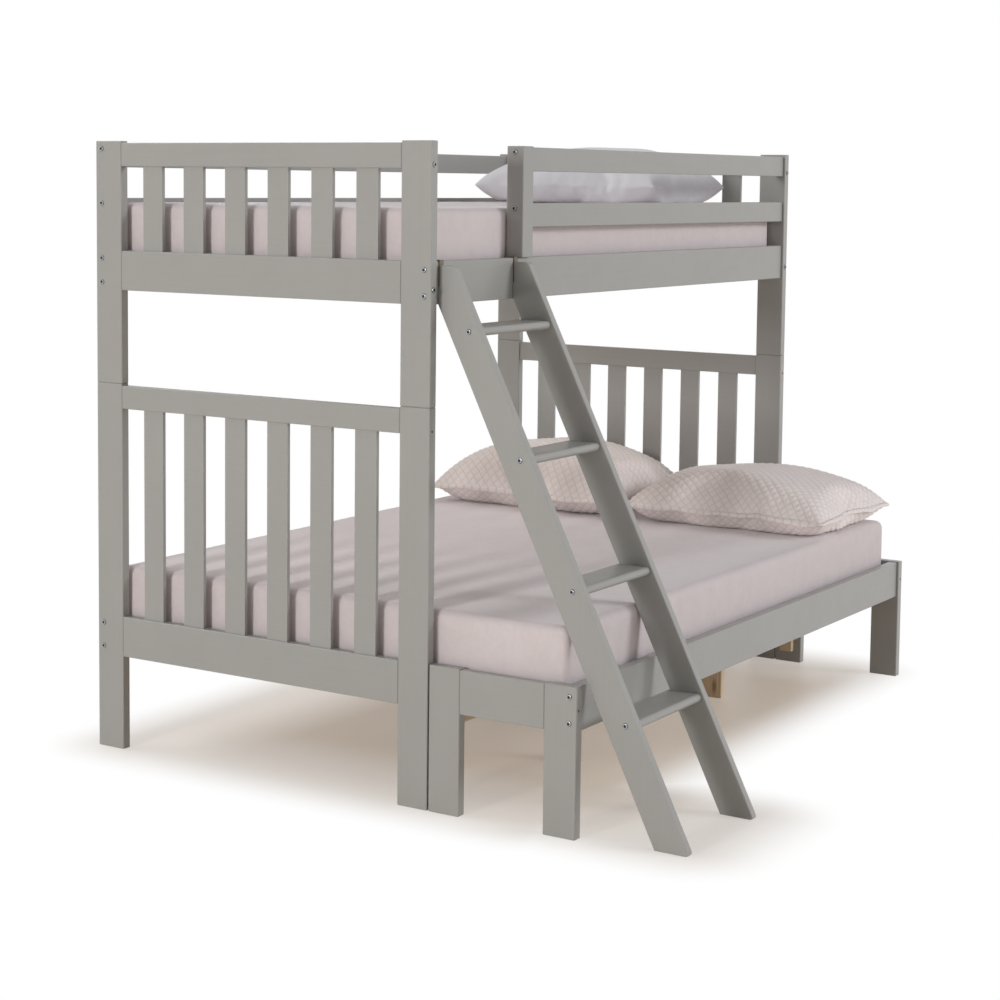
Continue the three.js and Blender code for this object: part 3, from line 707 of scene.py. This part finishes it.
def put_all_bolts():
    """Bolt heads on the ends of the rails' bolts, the panel rails' bolts and the treads'."""
    model = model_bolt_head()
    back_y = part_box("upper_foot_back_post")[1].y
    front_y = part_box("upper_foot_front_post")[0].y
    outer_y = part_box("extension_foot_outer_post")[0].y
    back_row = back_y - EDGE_BOLT_IN
    front_row = front_y + EDGE_BOLT_IN
    outer_row = outer_y + EDGE_BOLT_IN
    for end, side in ENDS.items():
        face_x = outer_x(f"upper_{end}_back_post", side)
        rows = [
            ("lower_bed", "back", back_row, LOWER_RAIL_BOLTS),
            ("lower_bed", "outer", outer_row, LOWER_RAIL_BOLTS),
            ("upper_bunk", "back", back_row, SIDE_RAIL_BOLTS + GUARD_RAIL_BOLTS),
            ("upper_bunk", "front", front_row, SIDE_RAIL_BOLTS),
        ]
        if end == "head":
            rows.append(("upper_bunk", "front", front_row, GUARD_RAIL_BOLTS))
        for body, row, y, heights in rows:
            for z in heights:
                name = f"rail_bolt_{end}_{row}_{z * 1000:.0f}"
                put_bolt(model, name, (face_x, y, z), (side, 0.0, 0.0), body)
        panel_x = face_x - side * PANEL_BOLT_IN
        for row, y, out in (("back", back_y, 1.0), ("front", front_y, -1.0)):
            for z in PANEL_RAIL_BOLTS:
                name = f"panel_bolt_{end}_{row}_{z * 1000:.0f}"
                put_bolt(model, name, (panel_x, y, z), (0.0, out, 0.0), "upper_bunk")
    guard_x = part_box("front_guard_post")[0].x
    for z in GUARD_RAIL_BOLTS:
        name = f"guard_bolt_{z * 1000:.0f}"
        put_bolt(model, name, (guard_x, front_row, z), (-1.0, 0.0, 0.0), "upper_bunk")
    for end, side in ENDS.items():
        face_x = outer_x(f"ladder_stringer_{end}", side)
        for step in range(1, 5):
            low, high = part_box(f"ladder_tread_{step}")
            place = (face_x, low.y + TREAD_BOLT_IN, (low.z + high.z) / 2)
            put_bolt(model, f"tread_bolt_{end}_{step}", place, (side, 0.0, 0.0), "ladder")
    bpy.data.objects.remove(model)


# ---- bedding -------------------------------------------------------------------------------

MATTRESSES = {
    "upper_mattress": {"body": "upper_mattress", "sink": 0.008, "seed": 0.0},
    "lower_mattress": {"body": "lower_bed", "sink": 0.0, "seed": 31.0},
}
MATTRESS_END_OUT = 0.004
MATTRESS_SIDE_IN = 0.002
MATTRESS_UNDER_IN = 0.003
MATTRESS_CORNER = 0.017
MATTRESS_EDGE = 0.020
MATTRESS_CELL = 0.0105

SHEET_CORNER_REACH = 0.35
SHEET_PULL = 0.0010
SHEET_FOLD = 0.0016
SHEET_CORNER_FOLD = 0.0030
SHEET_PULL_RATES = (7.0, 7.0, 7.0)
SHEET_FOLD_RATES = (26.0, 26.0, 4.0)

SEAM_THICK = 0.003
START_CROWN = 0.020
START_LUMPS = 0.0015
START_LUMP_RATES = (11.0, 11.0, 900.0)
FILL_PRESSURE = 2.2
FILL_FRAMES = 30
BEARING_CLEARANCE = 0.0005
BEARING_CURVE = 0.014
BORDER_STEPS = 3
BORDER_DROOP = 0.006
BORDER_RIPPLE = 0.010
BORDER_RIPPLE_RATES = (14.0, 14.0, 0.0)
BORDER_CLEARANCE = 0.002
QUILT_PUFF = 0.0010
QUILT_SINK = 0.0016
QUILT_MARGIN = 0.012

# A pillow's facts, in metres. "tips" is its size from tip to tip, cut and laid. "waist" is how far
# each side draws in at its middle, "seam" the height of the seam, "crown" the height of the top
# above the seam and "cell" the size of the cloth's squares. "evened" counts the rounds of smoothing,
# and a "fullness" below 1 gives the crown rounder shoulders.
SHAM = {
    "on": "lower_mattress",
    "waist": 0.018,
    "seam": 0.050,
    "border": 0.007,
    "cell": 0.012,
    "stiffness": 3.0,
    "evened": 8,
    "fullness": 0.85,
}

PILLOWS = {
    "upper_pillow": {
        "on": "upper_mattress",
        "middle": (0.695, 0.317),
        "tips": (0.480, 0.640),
        "waist": 0.020,
        "seam": 0.054,
        "crown": 0.120,
        "border": 0.0,
        "cell": 0.010,
        "stiffness": 0.5,
        "evened": 3,
        "fullness": 1.0,
        "seed": 0.0,
    },
    "lower_pillow_near": {
        **SHAM,
        "middle": (0.7255, -0.2295),
        "tips": (0.502, 0.648),
        "crown": 0.118,
        "seed": 7.0,
    },
    "lower_pillow_far": {
        **SHAM,
        "middle": (0.7225, 0.469),
        "tips": (0.500, 0.645),
        "crown": 0.142,
        "seed": 14.0,
    },
}


def apply_all_modifiers(piece):
    """Every modifier on the piece goes into its mesh."""
    take(piece)
    for modifier in list(piece.modifiers):
        bpy.ops.object.modifier_apply(modifier=modifier.name)


def smooth_over(piece, levels):
    """Subdivides the piece smoothly and shades it smooth."""
    rounder = piece.modifiers.new("rounder", "SUBSURF")
    rounder.levels = rounder.render_levels = levels
    apply_all_modifiers(piece)
    piece.data.shade_smooth()


def move_points(piece, places):
    """Puts every point of the piece at its new place."""
    piece.data.vertices.foreach_set("co", [number for place in places for number in place])
    piece.data.update()


def waver(place, rates, seed):
    """Smooth noise between -1 and 1, which changes along each axis at its own rate."""
    shifts = (0.0, 0.0, seed)
    return noise.noise(Vector([at * rate + shift for at, rate, shift in zip(place, rates, shifts)]))


def top_of(name):
    """Height of a mattress's top, where its pillows lie."""
    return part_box(name)[1].z - MATTRESSES[name]["sink"]


def model_mattress(name):
    """A mattress in its fitted sheet: a block with soft edges and tight corners."""
    low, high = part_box(name)
    low += Vector((-MATTRESS_END_OUT, MATTRESS_SIDE_IN, MATTRESS_UNDER_IN))
    high = Vector((high.x + MATTRESS_END_OUT, high.y - MATTRESS_SIDE_IN, top_of(name)))
    let_go()
    bpy.ops.mesh.primitive_cube_add(size=1.0, location=(low + high) / 2, scale=high - low)
    block = bpy.context.object
    block.name = name + "_in_sheet"
    settle_place(block)
    bpy.ops.object.mode_set(mode="EDIT")
    pick(block, "edges", lambda e: abs(e.verts[0].co.z - e.verts[1].co.z) > 0.1)
    bpy.ops.mesh.bevel(offset=MATTRESS_CORNER, segments=4, affect="EDGES")
    pick(
        block,
        "edges",
        lambda e: abs(sum(face.normal.z for face in e.link_faces)) > 0.5
        and min(abs(face.normal.z) for face in e.link_faces) < 0.5,
    )
    bpy.ops.mesh.bevel(offset=MATTRESS_EDGE, segments=4, affect="EDGES")
    bpy.ops.object.mode_set(mode="OBJECT")
    block.data.remesh_voxel_size = MATTRESS_CELL
    bpy.ops.object.voxel_remesh()
    block.data.shade_smooth()
    return block


def crease_mattress(block, node_name, seed):
    """Slight pulls and folds of a fitted sheet, strongest near the corners."""
    low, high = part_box(node_name)
    places = []
    for point in block.data.vertices:
        co, normal = point.co, point.normal
        corner = min(
            math.hypot(co.x - x, co.y - y) for x in (low.x, high.x) for y in (low.y, high.y)
        )
        near_corner = max(0.0, 1.0 - corner / SHEET_CORNER_REACH)
        upright = 1.0 - abs(normal.z)
        fold = upright * (SHEET_FOLD + SHEET_CORNER_FOLD * near_corner)
        depth = SHEET_PULL * waver(co, SHEET_PULL_RATES, seed)
        depth += fold * waver(co, SHEET_FOLD_RATES, seed)
        places.append(co + normal * depth)
    move_points(block, places)


def cut_envelope(name, facts):
    """Two sheets joined all round by a narrow rim, laid with a slight and uneven crown."""
    cut, cell = facts["tips"], facts["cell"]
    let_go()
    bpy.ops.mesh.primitive_grid_add(
        x_subdivisions=round(cut[0] / cell), y_subdivisions=round(cut[1] / cell), size=1.0
    )
    piece = bpy.context.object
    piece.name = name
    piece.scale = (cut[0], cut[1], 1.0)
    piece.location = (0.0, 0.0, -SEAM_THICK / 2)
    settle_place(piece)
    sheets = piece.modifiers.new("two_sheets", "SOLIDIFY")
    sheets.thickness = SEAM_THICK
    sheets.offset = 1.0
    apply_all_modifiers(piece)
    shape = piece.data
    shape.uv_layers[0].name = "cut"
    for face in shape.polygons:
        face.material_index = 1 if abs(face.normal.z) < 0.5 else 0
    for loop in shape.loops:
        co = shape.vertices[loop.vertex_index].co
        shape.uv_layers["cut"].data[loop.index].uv = co.xy
    places = []
    for point in shape.vertices:
        co = point.co
        inner = (1.0 - (2.0 * co.x / cut[0]) ** 2) * (1.0 - (2.0 * co.y / cut[1]) ** 2)
        lump = waver(co, START_LUMP_RATES, facts["seed"])
        rise = START_CROWN * inner + START_LUMPS * lump * min(1.0, 5.0 * inner)
        places.append(co + Vector((0.0, 0.0, math.copysign(rise, co.z))))
    move_points(piece, places)
    return piece


def add_filling(piece, stiffness):
    """Cloth blown up from inside and without weight, ready to be stepped."""
    cloth = piece.modifiers.new("filling", "CLOTH")
    settings = cloth.settings
    settings.use_pressure = True
    settings.uniform_pressure_force = FILL_PRESSURE
    settings.effector_weights.gravity = 0.0
    settings.bending_stiffness = stiffness
    settings.tension_stiffness = 20.0
    settings.compression_stiffness = 20.0
    settings.shear_stiffness = 7.0
    settings.air_damping = 3.0
    settings.quality = 6
    cloth.point_cache.frame_start = 1
    cloth.point_cache.frame_end = FILL_FRAMES


def flat_places(piece):
    """Where each point lay on the cut cloth, in metres from its middle."""
    shape = piece.data
    flat = [None] * len(shape.vertices)
    layer = shape.uv_layers["cut"].data
    for loop in shape.loops:
        flat[loop.vertex_index] = layer[loop.index].uv.copy()
    return flat


def lay_pillow(piece, facts):
    """Draws the filled pillow to its size and sets it down, flat where it bears."""
    middle_band = 0.02
    flat = flat_places(piece)
    half = [tip / 2 for tip in facts["tips"]]
    bearing = top_of(facts["on"]) + BEARING_CLEARANCE
    points = [point.co.copy() for point in piece.data.vertices]
    reach = [max(abs(co[axis]) for co in points) for axis in (0, 1)]
    pull = []
    for axis, other in ((0, 1), (1, 0)):
        middle = max(abs(co[axis]) for co in points if abs(co[other]) < middle_band)
        pull.append(reach[axis] - middle)
    top = max(co.z for co in points)
    places = []
    for co, cut in zip(points, flat):
        share = [cut[axis] / half[axis] for axis in (0, 1)]
        place = []
        for axis, other in ((0, 1), (1, 0)):
            drawn = co[axis] * half[axis] / reach[axis]
            eased = share[axis] * (pull[axis] - facts["waist"]) * (1 - share[other] ** 2)
            place.append(drawn + eased + facts["middle"][axis])
        z = facts["crown"] * (co.z / top) ** facts["fullness"] if co.z > 0.0 else co.z
        z += facts["seam"]
        if z < BEARING_CURVE:
            z = BEARING_CURVE * math.exp((z - BEARING_CURVE) / BEARING_CURVE)
        places.append((*place, bearing + z))
    move_points(piece, places)


def add_border(piece, facts):
    """A flat double border round the seam, which droops a little and ripples."""
    at_seam = 0.001
    width, steps = facts["border"], BORDER_STEPS
    lowest = top_of(facts["on"]) + BORDER_CLEARANCE
    half = [tip / 2 for tip in facts["tips"]]
    shape = bmesh.new()
    shape.from_mesh(piece.data)
    cut = shape.loops.layers.uv["cut"]
    rim = [face for face in shape.faces if face.material_index == 1]
    for step in range(1, steps + 1):
        grown = bmesh.ops.extrude_face_region(shape, geom=rim)["geom"]
        rim = [part for part in grown if isinstance(part, bmesh.types.BMFace)]
        for point in (part for part in grown if isinstance(part, bmesh.types.BMVert)):
            place = point.link_loops[0][cut].uv.copy()
            out = Vector((0.0, 0.0))
            for axis in (0, 1):
                if abs(place[axis]) > half[axis] - at_seam:
                    out[axis] = math.copysign(1.0, place[axis])
            place += out * width / steps
            for loop in point.link_loops:
                loop[cut].uv = place
            share = step / steps
            ripple = waver((*place, 0.0), BORDER_RIPPLE_RATES, facts["seed"])
            droop = BORDER_DROOP * (2 * share - 1 / steps)
            point.co += Vector((out.x, out.y, 0.0)) * width / steps
            point.co.z = max(point.co.z + (BORDER_RIPPLE * ripple - droop) / steps, lowest)
    shape.to_mesh(piece.data)
    shape.free()


def quilt_pillow(piece, facts):
    """Diamond quilting: two crossing sets of stitched lines with puffed cloth between."""
    flat = flat_places(piece)
    half = [tip / 2 for tip in facts["tips"]]
    places = []
    for point, cut in zip(piece.data.vertices, flat):
        inside = min(half[0] - abs(cut.x), half[1] - abs(cut.y))
        show = min(max(inside / QUILT_MARGIN, 0.0), 1.0)
        gaps = []
        for across in (cut.x + cut.y, cut.x - cut.y):
            turns = across / math.sqrt(2.0) / STITCH_SPACING
            gaps.append(abs(turns - round(turns)) * STITCH_SPACING)
        groove = math.exp(-((min(gaps) / STITCH_WIDTH) ** 2))
        puff = min(gaps) / (STITCH_SPACING / 2)
        depth = show * (QUILT_PUFF * puff - QUILT_SINK * groove)
        places.append(point.co + point.normal * depth)
    move_points(piece, places)


def make_bedding():
    """Mattresses in fitted sheets, a plain pillow above and two quilted ones below."""
    sheet_cloth = make_sheet_cloth()
    percale = make_pillowcase_cloth()
    quilted = make_quilt_cloth()
    for name, facts in MATTRESSES.items():
        block = model_mattress(name)
        crease_mattress(block, name, facts["seed"])
        finish_piece(block, sheet_cloth, facts["body"])
        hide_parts(name)
    pillows = {}
    for name, facts in PILLOWS.items():
        pillows[name] = cut_envelope(name + "_stuffed", facts)
        add_filling(pillows[name], facts["stiffness"])
    for step in range(1, FILL_FRAMES + 1):
        scene.frame_set(step)
    for name, piece in pillows.items():
        facts = PILLOWS[name]
        padding = piece.modifiers.new("padding", "SMOOTH")
        padding.factor = 0.5
        padding.iterations = facts["evened"]
        apply_all_modifiers(piece)
        lay_pillow(piece, facts)
        quilted_case = facts["border"] > 0.0
        if quilted_case:
            add_border(piece, facts)
        smooth_over(piece, 2)
        if quilted_case:
            quilt_pillow(piece, facts)
        piece.data.polygons.foreach_set("material_index", [0] * len(piece.data.polygons))
        finish_piece(
            piece,
            quilted if quilted_case else percale,
            name,
        )
        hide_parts(name)


def set_the_room():
    """Camera, even white surroundings, four soft boxes and the floor."""
    scene.view_settings.view_transform = "Standard"
    set_camera()
    set_white_surroundings(ROOM_LIGHT)
    add_soft_lamp("foot_side_lamp", (-9.0, 0.6, 2.2), BED_MIDDLE, (1.3, 1.3), 264.0)
    add_soft_lamp("front_lamp", (4.6, -12.8, 6.4), BED_MIDDLE, (3.6, 3.6), 610.0, COOL_WHITE)
    add_soft_lamp("front_fill_lamp", (0.9, -9.5, 3.5), BED_MIDDLE, (3.6, 3.6), 120.0, COOL_WHITE)
    add_soft_lamp("back_lamp", (-1.5, 7.0, 6.5), BED_MIDDLE, (6.0, 4.0), 235.0)
    let_go()
    bpy.ops.mesh.primitive_plane_add(size=40.0)
    floor = bpy.context.object
    floor.name = "floor"
    floor.data.materials.append(make_floor_with_painted_light())


yellow_zinc = make_zinc("yellow_zinc", (0.17, 0.145, 0.115, 1.0), 0.45)
bright_zinc = make_zinc("bright_zinc", (0.40, 0.41, 0.42, 1.0), 0.30)
# Near-black steel, painted into the bolts' sockets and seats as shade.
socket_painted_shade = make_socket_painted_shade()
set_the_room()
dress_boards()
put_all_bolts()
make_bedding()
